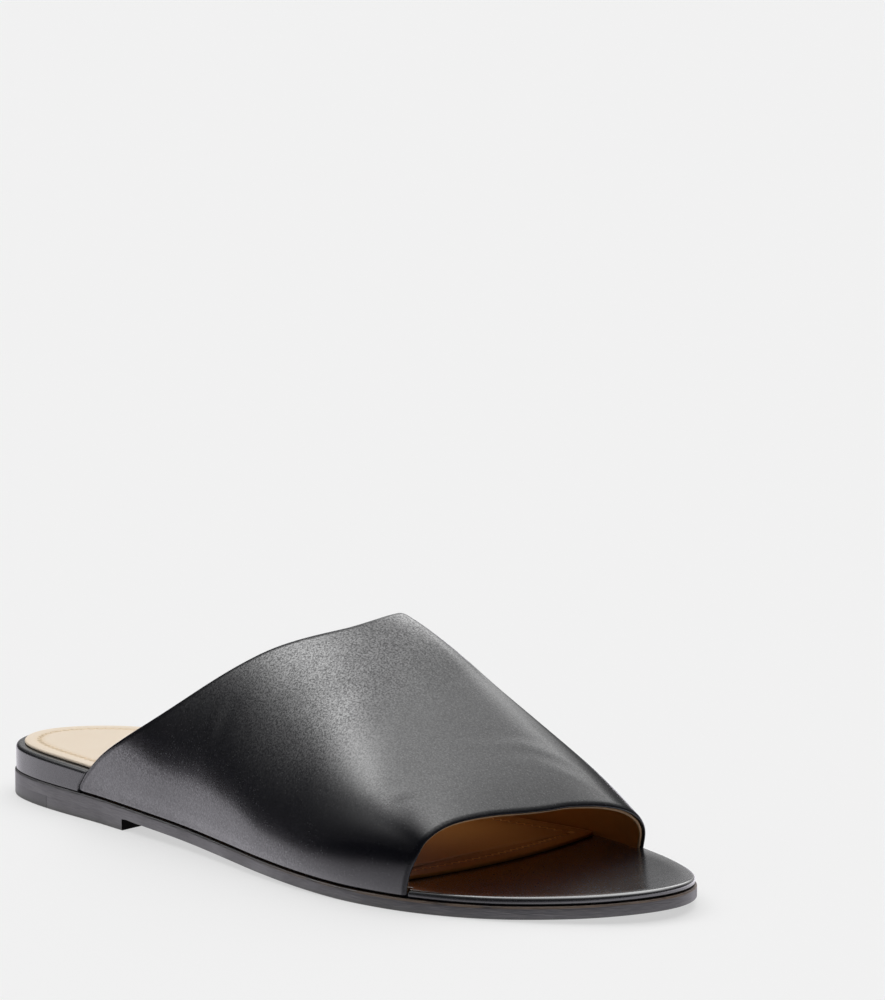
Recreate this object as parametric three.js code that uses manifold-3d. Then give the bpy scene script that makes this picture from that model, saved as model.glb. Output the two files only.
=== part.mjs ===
// Women's flat leather slide for the right foot.
// Millimetres. x runs from heel to toe, y towards the inner side of the foot, z up from the floor.
import * as THREE from "three";
import Module from "manifold-3d";
import { mergeVertices } from "three/addons/utils/BufferGeometryUtils.js";

const wasm = await Module();
wasm.setup();

// Plan of the last
const footLength = 252.5;
const heelWidth = 56.8;
const waistWidth = 61.7;
const ballWidth = 88.8;

// Outsole, heel lift and its rubber corner
const soleThickness = 3.6;
const soleEdgeRound = 0.5;
const heelHeight = 3.8;
const toeSpring = 2.6;
const heelLength = 70;
const breastHollow = 2;
const rubberOuterReach = 33.5;
const rubberInnerReach = 23;

// Covered footbed and the sock laid on it
const footbedHeelThickness = 7.1;
const footbedToeThickness = 2.1;
const footbedTaperStart = 25;
const footbedTaperEnd = 178;
const footbedSetback = 0.4;
const footbedFoot = 0.5;
const shoulderShare = 0.36;
const sockThickness = 1;
const sockSetback = 3;
const sockFront = 193;
const sockCornerDrop = 6;

// Upper
const wall = 2;
const instepHeight = 67;
const toeHeight = 24;
const innerBulge = 1.5;
const ridgeRoundness = 0.13;
const collarOuterCorner = 45.5;
const collarInnerCorner = 52.5;
const collarTop = 140.5;
const toeOuterCorner = 196;
const toeInnerCorner = 208;
const collarNotch = 1;

// Clearance between pieces that are glued together
const gap = 0.3;

// Steps in the faceting
const outlineSteps = 48;
const upperLengthSteps = 25;
const upperAcrossSteps = 44;

// Half widths of the sole, as shares of a named width, before the ends are rounded off
const outlineRows = [
  { at: 0.0, width: heelWidth, outer: 0.87, inner: 0.87 },
  { at: 0.04, width: heelWidth, outer: 0.795, inner: 0.87 },
  { at: 0.08, width: heelWidth, outer: 0.715, inner: 0.84 },
  { at: 0.16, width: heelWidth, outer: 0.62, inner: 0.737 },
  { at: 0.24, width: heelWidth, outer: 0.582, inner: 0.633 },
  { at: 0.315, width: waistWidth, outer: 0.543, inner: 0.507 },
  { at: 0.39, width: waistWidth, outer: 0.566, inner: 0.457 },
  { at: 0.47, width: waistWidth, outer: 0.626, inner: 0.455 },
  { at: 0.55, width: ballWidth, outer: 0.49, inner: 0.36 },
  { at: 0.63, width: ballWidth, outer: 0.543, inner: 0.444 },
  { at: 0.71, width: ballWidth, outer: 0.582, inner: 0.52 },
  { at: 0.79, width: ballWidth, outer: 0.605, inner: 0.552 },
  { at: 0.87, width: ballWidth, outer: 0.6, inner: 0.547 },
  { at: 0.93, width: ballWidth, outer: 0.57, inner: 0.54 },
  { at: 1.0, width: ballWidth, outer: 0.545, inner: 0.545 },
];

// Underside of the outsole: shares of the heel height and of the toe spring
const undersideRows = [
  { at: 0.0, heel: 1.0, toe: 0.0 },
  { at: 0.22, heel: 0.93, toe: 0.0 },
  { at: 0.42, heel: 0.57, toe: 0.0 },
  { at: 0.6, heel: 0.2, toe: 0.0 },
  { at: 0.72, heel: 0.0, toe: 0.0 },
  { at: 0.8, heel: 0.0, toe: 0.0 },
  { at: 0.86, heel: 0.0, toe: 0.09 },
  { at: 0.94, heel: 0.0, toe: 0.45 },
  { at: 1.0, heel: 0.0, toe: 1.0 },
];

// Cross sections of the upper: height and side shift of its ridge, how square each flank is, and how far
// the outer flank bulges in millimetres
const sectionRows = [
  { at: 0.177, instep: 1.54, toe: 0.0, shift: 0.067, outer: 2.06, inner: 1.71, bulge: 3.6 },
  { at: 0.276, instep: 1.154, toe: 0.0, shift: 0.077, outer: 1.85, inner: 1.64, bulge: 3.8 },
  { at: 0.374, instep: 1.045, toe: 0.0, shift: 0.09, outer: 1.76, inner: 1.56, bulge: 3.9 },
  { at: 0.472, instep: 1.041, toe: 0.0, shift: 0.102, outer: 1.68, inner: 1.52, bulge: 3.6 },
  { at: 0.551, instep: 1.002, toe: 0.0, shift: 0.108, outer: 1.59, inner: 1.56, bulge: 3.4 },
  { at: 0.61, instep: 0.871, toe: 0.1, shift: 0.106, outer: 1.66, inner: 1.66, bulge: 3.6 },
  { at: 0.669, instep: 0.617, toe: 0.4, shift: 0.096, outer: 1.94, inner: 1.82, bulge: 4.3 },
  { at: 0.728, instep: 0.339, toe: 0.75, shift: 0.08, outer: 2.39, inner: 2.04, bulge: 5.2 },
  { at: 0.787, instep: 0.093, toe: 1.0, shift: 0.062, outer: 2.9, inner: 2.32, bulge: 6.3 },
  { at: 0.84, instep: 0.009, toe: 0.8, shift: 0.05, outer: 3.35, inner: 2.63, bulge: 7.2 },
];

// Where the upper ends, from its outer edge (-1) over the ridge (0) to its inner edge (1):
// collar as a share of the way from the corner to the top, toe from the outer corner to the inner
const edgeRows = [
  { across: -1.0, collar: 0.0, toe: 0.0 },
  { across: -0.8, collar: 0.255, toe: 0.38 },
  { across: -0.6, collar: 0.506, toe: 0.53 },
  { across: -0.4, collar: 0.738, toe: 0.64 },
  { across: -0.2, collar: 0.962, toe: 0.82 },
  { across: 0.0, collar: 1.0, toe: 1.05 },
  { across: 0.2, collar: 0.972, toe: 1.156 },
  { across: 0.4, collar: 0.828, toe: 1.203 },
  { across: 0.6, collar: 0.609, toe: 1.214 },
  { across: 0.8, collar: 0.32, toe: 1.158 },
  { across: 1.0, collar: 0.0, toe: 1.0 },
];

// Smooth curve through a table: cubic between rows, level where the table turns back or stays level
function smooth(rows, key, value, at) {
  const last = rows.length - 1;
  const place = THREE.MathUtils.clamp(at, rows[0][key], rows[last][key]);
  let row = 0;
  while (row < last - 1 && place > rows[row + 1][key]) row += 1;
  const rise = (index) => {
    const step = THREE.MathUtils.clamp(index, 0, last - 1);
    return (value(rows[step + 1]) - value(rows[step])) / (rows[step + 1][key] - rows[step][key]);
  };
  const slope = (index) => {
    const before = rise(index - 1);
    const after = rise(index);
    if (before * after <= 0) return 0;
    const limit = 3 * Math.min(Math.abs(before), Math.abs(after));
    return THREE.MathUtils.clamp((before + after) / 2, -limit, limit);
  };
  const span = rows[row + 1][key] - rows[row][key];
  const t = (place - rows[row][key]) / span;
  const bend = (1 - t) * span * (slope(row) * (1 - t) - slope(row + 1) * t) * t;
  const ease = t * t * (3 - 2 * t);
  const straight = value(rows[row]) * (1 - ease) + value(rows[row + 1]) * ease;
  return straight + bend;
}

// Plan of the sole. side is -1 for the outer side of the foot and 1 for the inner side.
function halfWidth(x, side) {
  const share = (row) => row.width * (side < 0 ? row.outer : row.inner);
  return smooth(outlineRows, "at", share, x / footLength);
}

function outlinePoint(angle, side) {
  const x = (footLength / 2) * (1 - Math.cos(angle));
  return new THREE.Vector2(x, side * Math.sin(angle) * halfWidth(x, side));
}

function insetPoint(angle, side, inset) {
  const reach = 0.001;
  const along = outlinePoint(angle + reach, side).sub(outlinePoint(angle - reach, side)).normalize();
  const inward = new THREE.Vector2(along.y, -along.x).multiplyScalar(side);
  return outlinePoint(angle, side).addScaledVector(inward, inset);
}

function edgeAt(x, side) {
  const angle = Math.acos(1 - (2 * x) / footLength);
  return side * (Math.sin(angle) * halfWidth(x, side) - footbedSetback);
}

// Heights of the layers
function soleUnderside(x) {
  const height = (row) => row.heel * heelHeight + row.toe * toeSpring;
  return smooth(undersideRows, "at", height, x / footLength);
}

function soleTop(x) {
  return soleUnderside(x) + soleThickness;
}

function footbedThickness(x) {
  const taper = THREE.MathUtils.smoothstep(x, footbedTaperStart, footbedTaperEnd);
  return THREE.MathUtils.lerp(footbedHeelThickness, footbedToeThickness, taper);
}

function footbedTop(x) {
  return soleTop(x) + gap + footbedThickness(x);
}

// A closed skin from rings of points, all with as many points and counter-clockwise from above
function stackRings(rings, capFaces) {
  const count = rings[0].length;
  const positions = rings.flat().flatMap((point) => point.toArray());
  const faces = [];
  for (let level = 0; level < rings.length - 1; level += 1) {
    for (let k = 0; k < count; k += 1) {
      const a = level * count + k;
      const b = level * count + ((k + 1) % count);
      faces.push(a, b, b + count, a, b + count, a + count);
    }
  }
  const top = (rings.length - 1) * count;
  for (const [a, b, c] of capFaces) {
    faces.push(top + a, top + b, top + c, c, b, a);
  }
  const geometry = new THREE.BufferGeometry();
  geometry.setAttribute("position", new THREE.Float32BufferAttribute(positions, 3));
  geometry.setIndex(faces);
  return geometry;
}

// A layer of the sole: each level is a ring at some inset from the outline and some height
function soleLayer(levels) {
  const ring = ({ inset, height }) => {
    const points = [];
    for (let k = 0; k < 2 * outlineSteps; k += 1) {
      const side = k <= outlineSteps ? -1 : 1;
      const step = side < 0 ? k : 2 * outlineSteps - k;
      const plan = insetPoint((Math.PI * step) / outlineSteps, side, inset);
      points.push(new THREE.Vector3(plan.x, plan.y, height(plan.x)));
    }
    return points;
  };
  const caps = [[0, 1, 2 * outlineSteps - 1]];
  for (let k = 1; k < outlineSteps; k += 1) {
    const across = 2 * outlineSteps - k;
    caps.push([k, k + 1, across]);
    if (k < outlineSteps - 1) caps.push([k + 1, across - 1, across]);
  }
  return stackRings(levels.map(ring), caps);
}

// Booleans
function toSolid(geometry) {
  const bare = geometry.clone();
  for (const name of Object.keys(bare.attributes)) {
    if (name !== "position") bare.deleteAttribute(name);
  }
  const merged = mergeVertices(bare, 1e-5);
  const vertProperties = new Float32Array(merged.attributes.position.array);
  const triVerts = new Uint32Array(merged.index.array);
  return new wasm.Manifold(new wasm.Mesh({ numProp: 3, vertProperties, triVerts }));
}

function toGeometry(solid) {
  const mesh = solid.getMesh();
  const geometry = new THREE.BufferGeometry();
  geometry.setAttribute("position", new THREE.BufferAttribute(mesh.vertProperties, 3));
  geometry.setIndex(new THREE.BufferAttribute(mesh.triVerts, 1));
  return geometry;
}

// A tall block over a plan shape, to cut with
function planBlock(shape) {
  const options = { depth: 2 * instepHeight, bevelEnabled: false, curveSegments: 12 };
  return toSolid(new THREE.ExtrudeGeometry(shape, options).translate(0, 0, -instepHeight));
}

// Everything in front of a curve across the shoe: its x at the outer side, the middle and the inner side
function forwardBlock(outerX, middleX, innerX) {
  const far = footLength + ballWidth;
  const side = ballWidth / 2;
  const bow = 2 * middleX - (outerX + innerX) / 2;
  const shape = new THREE.Shape();
  shape.moveTo(outerX, -far);
  shape.lineTo(outerX, -side);
  shape.quadraticCurveTo(bow, 0, innerX, side);
  shape.lineTo(innerX, far);
  shape.lineTo(2 * far, far);
  shape.lineTo(2 * far, -far);
  return planBlock(shape);
}

// Upper: a point of its outer surface, from a place along the shoe and across (-1 to 1).
// A section is a squared arch on each side whose peak is rounded off.
function sectionPoint(x, across) {
  const side = across < 0 ? -1 : 1;
  const row = (value) => smooth(sectionRows, "at", value, x / footLength);
  const ridgeZ = row((r) => r.instep * instepHeight + r.toe * toeHeight);
  const ridgeY = row((r) => r.shift * ballWidth);
  const squareness = row((r) => (side < 0 ? r.outer : r.inner));
  const turn = ((1 - Math.abs(across)) * Math.PI) / 2;
  const outward = Math.max(Math.cos(turn), 0) ** (2 / squareness);
  const reach = Math.hypot(outward, ridgeRoundness * Math.sqrt(1 - outward ** 2));
  const peak = (1 - ridgeRoundness ** squareness) ** (1 / squareness);
  const upward = Math.max(1 - reach ** squareness, 0) ** (1 / squareness) / peak;
  const footZ = soleTop(x) + gap;
  const rise = (ridgeZ - footZ) * upward;
  const clearOfFootbed = THREE.MathUtils.smoothstep(rise, 0, footbedThickness(x));
  const fullBulge = side < 0 ? -row((r) => r.bulge) : innerBulge;
  const bulge = fullBulge * Math.sin(2 * turn) * clearOfFootbed;
  return new THREE.Vector3(x, ridgeY + (edgeAt(x, side) - ridgeY) * outward + bulge, footZ + rise);
}

function collarX(across) {
  const corner = across < 0 ? collarOuterCorner : collarInnerCorner;
  const share = smooth(edgeRows, "across", (r) => r.collar, across);
  return THREE.MathUtils.lerp(corner, collarTop, share);
}

function toeX(across) {
  const share = smooth(edgeRows, "across", (r) => r.toe, across);
  return THREE.MathUtils.lerp(toeOuterCorner, toeInnerCorner, share);
}

// The same point by its share of the way from the collar to the toe opening, each moved out by a margin
function upperPoint(forward, across, margin) {
  const x = THREE.MathUtils.lerp(collarX(across) - margin, toeX(across) + margin, forward);
  return sectionPoint(x, across);
}

function upperNormal(forward, across, margin) {
  const reach = 0.004;
  const ahead = upperPoint(forward + reach, across, margin);
  ahead.sub(upperPoint(forward - reach, across, margin));
  const right = Math.max(across - reach, -1);
  const left = Math.min(across + reach, 1);
  const sideways = upperPoint(forward, left, margin).sub(upperPoint(forward, right, margin));
  return ahead.cross(sideways).normalize();
}

// A band along the upper's surface between two depths below it, longer by a margin at collar and toe
// and reaching down by a drop below its lower edges
function upperBand(outerDepth, innerDepth, margin, drop) {
  const stations = [];
  for (let k = 0; k <= upperAcrossSteps; k += 1) {
    stations.push({ across: -1 + (2 * k) / upperAcrossSteps, drop: 0 });
  }
  if (drop > 0) {
    stations.unshift({ across: -1, drop });
    stations.push({ across: 1, drop });
  }
  const line = (forward, depth) => stations.map((station) => {
    const surface = upperPoint(forward, station.across, margin);
    const normal = upperNormal(forward, station.across, margin);
    const point = surface.clone().addScaledVector(normal, -depth);
    if (Math.abs(station.across) === 1) point.z = surface.z - station.drop;
    return point;
  });
  const rings = [];
  for (let k = 0; k <= upperLengthSteps; k += 1) {
    const forward = k / upperLengthSteps;
    rings.push([...line(forward, innerDepth), ...line(forward, outerDepth).reverse()]);
  }
  const caps = [];
  const last = 2 * stations.length - 1;
  for (let k = 0; k < stations.length - 1; k += 1) {
    caps.push([k, k + 1, last - k], [k + 1, last - k - 1, last - k]);
  }
  return stackRings(rings, caps);
}

// The pieces
function makeOutsole() {
  return soleLayer([
    { inset: soleEdgeRound, height: soleUnderside },
    { inset: 0, height: (x) => soleUnderside(x) + soleEdgeRound },
    { inset: 0, height: (x) => soleTop(x) - soleEdgeRound },
    { inset: soleEdgeRound, height: soleTop },
  ]);
}

const heelLayer = toSolid(soleLayer([
  { inset: soleEdgeRound, height: () => 0 },
  { inset: 0, height: () => soleEdgeRound },
  { inset: 0, height: (x) => Math.max(soleUnderside(x) - gap, 2 * soleEdgeRound) },
]));
const breast = forwardBlock(heelLength, heelLength - breastHollow, heelLength);
const wholeHeel = heelLayer.subtract(breast);

// The slanting line across the heel, with its x moved by a margin
function rubberFront(margin) {
  const middle = (rubberOuterReach + rubberInnerReach) / 2;
  return forwardBlock(rubberOuterReach + margin, middle + margin, rubberInnerReach + margin);
}

function makeHeelLift() {
  return toGeometry(wholeHeel.intersect(rubberFront(gap / 2)));
}

function makeHeelRubber() {
  return toGeometry(wholeHeel.subtract(rubberFront(-gap / 2)));
}

const upperClearance = toSolid(upperBand(-2 * wall, wall + gap, collarNotch, footbedHeelThickness));

function makeFootbed() {
  const base = (x) => soleTop(x) + gap;
  const shoulder = (x) => footbedThickness(x) * shoulderShare;
  const corner = Math.SQRT1_2;
  const shoulderRadius = footbedToeThickness * shoulderShare * 2;
  const solid = toSolid(soleLayer([
    { inset: footbedSetback + footbedFoot, height: base },
    { inset: footbedSetback, height: (x) => base(x) + footbedFoot },
    { inset: footbedSetback, height: (x) => footbedTop(x) - shoulder(x) },
    { inset: footbedSetback + shoulderRadius * (1 - corner),
      height: (x) => footbedTop(x) - shoulder(x) * (1 - corner) },
    { inset: footbedSetback + shoulderRadius, height: footbedTop },
  ]));
  return toGeometry(solid.subtract(upperClearance));
}

function makeInsole() {
  const solid = toSolid(soleLayer([
    { inset: sockSetback, height: (x) => footbedTop(x) + gap },
    { inset: sockSetback, height: (x) => footbedTop(x) + gap + sockThickness },
  ]));
  const front = forwardBlock(sockFront - sockCornerDrop, sockFront, sockFront - sockCornerDrop);
  return toGeometry(solid.subtract(front).subtract(upperClearance));
}

function makeUpper() {
  return upperBand(0, wall, 0, 0);
}

// The assembly, with its origin on the floor under the middle of the shoe
const pieces = [
  { name: "outsole", geometry: makeOutsole(), colour: 0x2b292a, roughness: 0.5 },
  { name: "heel_lift", geometry: makeHeelLift(), colour: 0x2d2b2c, roughness: 0.5 },
  { name: "heel_rubber", geometry: makeHeelRubber(), colour: 0x201f20, roughness: 0.75 },
  { name: "footbed", geometry: makeFootbed(), colour: 0x17161a, roughness: 0.4 },
  { name: "insole", geometry: makeInsole(), colour: 0xe3c9a0, roughness: 0.6 },
  { name: "upper", geometry: makeUpper(), colour: 0x16161a, roughness: 0.4 },
];

const box = new THREE.Box3();
for (const piece of pieces) {
  box.union(new THREE.Box3().setFromBufferAttribute(piece.geometry.attributes.position));
}
const middle = box.getCenter(new THREE.Vector3());

const slide = new THREE.Group();
for (const { name, geometry, colour, roughness } of pieces) {
  const material = new THREE.MeshStandardMaterial({ color: colour, roughness, metalness: 0 });
  const mesh = new THREE.Mesh(geometry, material);
  mesh.name = name;
  slide.add(mesh);
}
slide.position.set(-middle.x, -middle.y, -box.min.z);

export default slide;
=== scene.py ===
# Flat leather slide for the right foot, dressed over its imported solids.
# Metres. x runs from heel to toe, y towards the inner side of the foot, z up from the floor.
import math

import bpy
import numpy as np
from mathutils import Matrix, Vector


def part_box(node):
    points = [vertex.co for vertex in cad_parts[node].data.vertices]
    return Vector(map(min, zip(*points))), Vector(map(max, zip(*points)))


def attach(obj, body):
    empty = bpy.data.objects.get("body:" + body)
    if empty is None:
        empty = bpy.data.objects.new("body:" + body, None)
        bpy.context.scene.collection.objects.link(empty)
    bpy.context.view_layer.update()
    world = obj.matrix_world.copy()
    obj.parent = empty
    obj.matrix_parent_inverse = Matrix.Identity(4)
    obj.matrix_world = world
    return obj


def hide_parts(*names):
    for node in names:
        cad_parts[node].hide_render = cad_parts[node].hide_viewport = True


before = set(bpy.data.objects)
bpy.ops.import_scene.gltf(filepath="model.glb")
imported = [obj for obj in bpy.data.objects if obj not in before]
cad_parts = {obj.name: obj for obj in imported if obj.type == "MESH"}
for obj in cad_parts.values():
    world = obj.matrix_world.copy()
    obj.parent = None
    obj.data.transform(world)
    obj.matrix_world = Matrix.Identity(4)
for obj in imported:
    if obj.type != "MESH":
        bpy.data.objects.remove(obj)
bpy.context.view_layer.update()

# Camera
# A long lens looks at the outer front corner of the slide from a little above the floor.
# It aims at the middle of the picture, which lies above and beyond the shoe.
mm = 0.001
camera_azimuth = math.radians(43.875)
camera_elevation = math.radians(8.797)
camera_roll = math.radians(-0.146)
camera_distance = 1402.96 * mm
camera_aim = Vector((-5.908, 51.540, 91.561)) * mm

heading = Vector((math.sin(camera_azimuth), -math.cos(camera_azimuth), 0))
camera_back = heading * math.cos(camera_elevation) + Vector((0, 0, math.sin(camera_elevation)))
camera_right = Vector((0, 0, 1)).cross(heading)
camera_turn = Matrix((camera_right, camera_back.cross(camera_right), camera_back)).transposed()
camera_turn @= Matrix.Rotation(camera_roll, 3, "Z")

camera_data = bpy.data.cameras.new("camera")
camera_data.lens = 177.02
camera_data.sensor_width = 36
camera_data.clip_end = 100
camera = bpy.data.objects.new("camera", camera_data)
camera.matrix_world = Matrix.Translation(camera_aim + camera_back * camera_distance) @ camera_turn.to_4x4()
bpy.context.scene.collection.objects.link(camera)
bpy.context.scene.camera = camera


# Studio
# Soft boxes hang over the shoe and behind it, and the side that faces the camera is nearly dark.
# The floor is a plain matt white table, lit a little from below as well.
class Socket:
    """A node's output that takes part in sums: each operator adds the Math node for it."""

    def __init__(self, tree, socket=None):
        self.tree = tree
        self.socket = socket

    def node(self, kind, settings=None, inputs=None, output=0):
        """Any other node: its settings are set first, then its sockets are filled or linked."""
        node = self.tree.nodes.new(kind)
        for name, value in (settings or {}).items():
            setattr(node, name, value)
        for name, value in (inputs or {}).items():
            if isinstance(value, Socket):
                self.tree.links.new(value.socket, self.pick(node.inputs, name))
            else:
                self.pick(node.inputs, name).default_value = value
        return Socket(self.tree, self.pick(node.outputs, output) if node.outputs else None)

    @staticmethod
    def pick(sockets, name):
        """A socket by its place, its identifier or its name."""
        if isinstance(name, int):
            return sockets[name]
        return [socket for socket in sockets if name in (socket.identifier, socket.name)][0]

    def maths(self, operation, *values):
        return self.node("ShaderNodeMath", {"operation": operation}, dict(enumerate(values)))

    def __add__(self, other):
        return self.maths("ADD", self, other)

    def __sub__(self, other):
        return self.maths("SUBTRACT", self, other)

    def __rsub__(self, other):
        return self.maths("SUBTRACT", other, self)

    def __mul__(self, other):
        return self.maths("MULTIPLY", self, other)

    def __truediv__(self, other):
        return self.maths("DIVIDE", self, other)

    __radd__ = __add__
    __rmul__ = __mul__

    def step(self, low, high):
        """A soft step from 0 at low to 1 at high."""
        limits = {"Value": self, "From Min": low, "From Max": high}
        return self.node("ShaderNodeMapRange", {"interpolation_type": "SMOOTHSTEP"}, limits)

    def dot(self, other):
        """How far this vector reaches along another one."""
        vectors = {0: self, 1: other}
        return self.node("ShaderNodeVectorMath", {"operation": "DOT_PRODUCT"}, vectors, "Value")


world = bpy.data.worlds.new("studio")
world.use_nodes = True
world.node_tree.nodes.clear()
sky = Socket(world.node_tree)
direction = sky.node("ShaderNodeTexCoord", output="Generated")

# Each soft box: degrees round from the outer side towards the toe, degrees up, strength, and how
# tightly its light is gathered
soft_boxes = [
    (152, 77, 2.15, 9.5),
    (-107, 67, 0.90, 40),
    (-76, 53, 3.60, 27),
    (-149, 35, 2.20, 13.5),
    (-44, 30, 0.45, 24),
]
brightness = 0.02
for azimuth, elevation, strength, tightness in soft_boxes:
    turn, rise = math.radians(azimuth), math.radians(elevation)
    towards = (math.sin(turn) * math.cos(rise), -math.cos(turn) * math.cos(rise), math.sin(rise))
    facing = direction.dot(towards)
    fading = facing * tightness - tightness
    brightness = fading.maths("EXPONENT", fading) * strength + brightness
background = sky.node("ShaderNodeBackground", inputs={"Color": (1, 1, 1, 1), "Strength": brightness})
sky.node("ShaderNodeOutputWorld", inputs={"Surface": background})
bpy.context.scene.world = world
bpy.context.scene.view_settings.view_transform = "Standard"

floor_reach = 30
floor_colour = 0.365
floor_glow = 0.57
floor_mesh = bpy.data.meshes.new("floor")
floor_corners = [(-1, -1, 0), (1, -1, 0), (1, 1, 0), (-1, 1, 0)]
floor_mesh.from_pydata([Vector(corner) * floor_reach for corner in floor_corners], [], [(0, 1, 2, 3)])
floor = bpy.data.objects.new("floor", floor_mesh)
bpy.context.scene.collection.objects.link(floor)


def plain_material(name, constants):
    """A material with one shader, whose sockets are set to constants."""
    material = bpy.data.materials.new(name)
    material.use_nodes = True
    material.node_tree.nodes.clear()
    maker = Socket(material.node_tree)
    shader = maker.node("ShaderNodeBsdfPrincipled", inputs=constants)
    maker.node("ShaderNodeOutputMaterial", inputs={"Surface": shader})
    return material


floor_grey = (floor_colour, floor_colour, floor_colour, 1)
floor_mesh.materials.append(plain_material("backlit white table", {
    "Base Color": floor_grey,
    "Roughness": 1.0,
    "Specular IOR Level": 0.0,
    "Emission Color": (1, 1, 1, 1),
    "Emission Strength": floor_glow,
}))

# Outsole
# One sole of black dyed leather, a few millimetres thick, dropping from the heel to the ball and
# springing up again at the toe. Its edge is trimmed, inked and burnished.
foot_length = 252.5 * mm
heel_width = 56.8 * mm
waist_width = 61.7 * mm
ball_width = 88.8 * mm
sole_thickness = 3.6 * mm
sole_edge_round = 0.5 * mm
heel_height = 3.8 * mm
toe_spring = 2.6 * mm
heel_length = 70 * mm

# Half widths of the sole, as shares of a named width, before the ends are rounded off:
# place along the foot, the width, share on the outer side, share on the inner side
plan = np.array([
    (0.0, heel_width, 0.87, 0.87),
    (0.04, heel_width, 0.795, 0.87),
    (0.08, heel_width, 0.715, 0.84),
    (0.16, heel_width, 0.62, 0.737),
    (0.24, heel_width, 0.582, 0.633),
    (0.315, waist_width, 0.543, 0.507),
    (0.39, waist_width, 0.566, 0.457),
    (0.47, waist_width, 0.626, 0.455),
    (0.55, ball_width, 0.49, 0.36),
    (0.63, ball_width, 0.543, 0.444),
    (0.71, ball_width, 0.582, 0.52),
    (0.79, ball_width, 0.605, 0.552),
    (0.87, ball_width, 0.6, 0.547),
    (0.93, ball_width, 0.57, 0.54),
    (1.0, ball_width, 0.545, 0.545),
])

# Underside of the outsole: place along the foot, share of the heel height, share of the toe spring
underside = np.array([
    (0.0, 1.0, 0.0),
    (0.22, 0.93, 0.0),
    (0.42, 0.57, 0.0),
    (0.6, 0.2, 0.0),
    (0.72, 0.0, 0.0),
    (0.8, 0.0, 0.0),
    (0.86, 0.0, 0.09),
    (0.94, 0.0, 0.45),
    (1.0, 0.0, 1.0),
])


def smooth(at, values, place):
    """Cubic curve through a table, level where the table turns back or stays level."""
    rise = np.diff(values) / np.diff(at)
    before = np.append(rise[:1], rise)
    after = np.append(rise, rise[-1:])
    limit = 3 * np.minimum(abs(before), abs(after))
    slope = np.where(before * after > 0, np.clip((before + after) / 2, -limit, limit), 0)
    place = np.clip(place, at[0], at[-1])
    row = np.clip(np.searchsorted(at, place) - 1, 0, len(at) - 2)
    span = at[row + 1] - at[row]
    t = (place - at[row]) / span
    bend = (1 - t) * t * span * (slope[row] * (1 - t) - slope[row + 1] * t)
    ease = t * t * (3 - 2 * t)
    return values[row] * (1 - ease) + values[row + 1] * ease + bend


def half_width(x, side):
    """Half the sole's width on one side: side is -1 for the outer side of the foot, 1 for the inner."""
    outer = smooth(plan[:, 0], plan[:, 1] * plan[:, 2], x / foot_length)
    inner = smooth(plan[:, 0], plan[:, 1] * plan[:, 3], x / foot_length)
    return np.where(side < 0, outer, inner)


def outline(angle, side):
    x = foot_length / 2 * (1 - np.cos(angle))
    return np.stack([x, side * np.sin(angle) * half_width(x, side)], axis=-1)


def sole_underside(x):
    heights = underside[:, 1] * heel_height + underside[:, 2] * toe_spring
    return smooth(underside[:, 0], heights, x / foot_length)


def sole_top(x):
    return sole_underside(x) + sole_thickness


def both_sides(angles_outer, angles_inner):
    """Columns round the foot: from the heel along the outer side to the toe, and back along the inner."""
    angle = np.append(angles_outer, angles_inner[-2:0:-1])
    side = np.append(-np.ones(len(angles_outer)), np.ones(len(angles_inner) - 2))
    return angle, side


def plan_ring(columns, inset, height):
    """A ring round the foot at some inset from the outline, lifted to a height that follows x."""
    angle, side = columns
    reach = 0.001
    along = outline(angle + reach, side) - outline(angle - reach, side)
    along /= np.linalg.norm(along, axis=1, keepdims=True)
    inward = np.stack([along[:, 1], -along[:, 0]], axis=1) * side[:, None]
    spot = outline(angle, side) + inward * np.broadcast_to(inset, angle.shape)[:, None]
    return np.column_stack([spot, height(spot[:, 0])])


def edge_round(radius, steps=4):
    """Steps of a rounded edge from its flat face out to its side: inset from the side and rise from
    the face."""
    turns = np.linspace(0, math.pi / 2, steps + 1)
    return [(radius * (1 - math.sin(turn)), radius * (1 - math.cos(turn))) for turn in turns]


heel_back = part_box("outsole")[0].x
foot_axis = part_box("outsole")[0].y - outline(np.linspace(0, math.pi, 400), -1)[:, 1].min()


def add_piece(name, points, faces, *materials):
    """A mesh object from points along the foot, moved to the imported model's place."""
    mesh = bpy.data.meshes.new(name)
    placed = np.asarray(points) + np.array([heel_back, foot_axis, 0])
    mesh.from_pydata(placed.tolist(), [], faces)
    mesh.validate()
    mesh.shade_smooth()
    for material in materials:
        mesh.materials.append(material)
    piece = bpy.data.objects.new(name, mesh)
    bpy.context.scene.collection.objects.link(piece)
    return piece


def mark(piece, name, values):
    """Gives each point of a piece a value that its material can read."""
    layer = piece.data.attributes.new(name, "FLOAT", "POINT")
    layer.data.foreach_set("value", np.asarray(values, dtype=np.float32))


def skin(rings, cap):
    """Faces of a closed skin over stacked rings, with the same cap of faces across both ends."""
    count = len(rings[0])
    columns = np.arange(count)
    beside = np.roll(columns, -1)
    faces = []
    for row in range(len(rings) - 1):
        low, high = row * count, (row + 1) * count
        faces += np.stack([low + columns, low + beside, high + beside, high + columns], axis=1).tolist()
    top = (len(rings) - 1) * count
    faces += [[top + corner for corner in face] for face in cap]
    faces += [list(reversed(face)) for face in cap]
    return np.concatenate(rings), faces


def strip_cap(count):
    """A cap of strips from each column of the outer side across to its twin on the inner side."""
    half = count // 2
    middle = [[k, k + 1, count - k - 1, count - k] for k in range(1, half - 1)]
    return [[0, 1, count - 1], *middle, [half - 1, half, half + 1]]


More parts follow.
